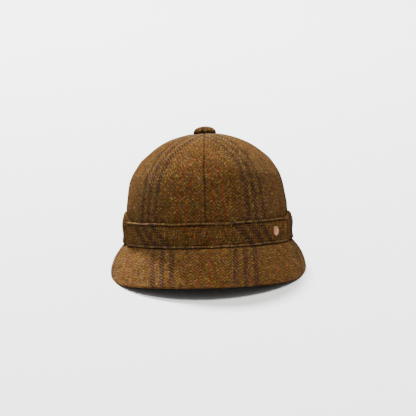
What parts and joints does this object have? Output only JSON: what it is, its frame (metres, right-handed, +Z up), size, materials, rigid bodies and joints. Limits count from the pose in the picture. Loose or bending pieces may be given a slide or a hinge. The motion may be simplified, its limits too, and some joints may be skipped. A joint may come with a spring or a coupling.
{
  "type": "tweed jockey cap",
  "caption": "Tweed jockey cap with a rounded gored crown, covered button, front band with a metal stud, drooping peak and an ear flap folded up round the sides and back.",
  "frame": {"origin": "on the table under the middle of the cap's bounding box, as it rests on its peak and the back of its rim", "axes": "+Z up from the table, -Y towards the peak and +X towards the wearer's left"},
  "size_m": [0.2022, 0.2486, 0.1373],
  "materials": {
    "tweed": "herringbone wool tweed, mustard brown",
    "stud_metal": "satin rose-gold plate"
  },
  "bodies": {
    "root": {"gore_front_left": "tweed", "gore_front_right": "tweed", "gore_back_left": "tweed", "gore_back_right": "tweed", "crown_button": "tweed", "front_band": "tweed", "ear_flap": "tweed", "peak": "tweed", "band_stud": "stud_metal"}
  },
  "joints": []
}
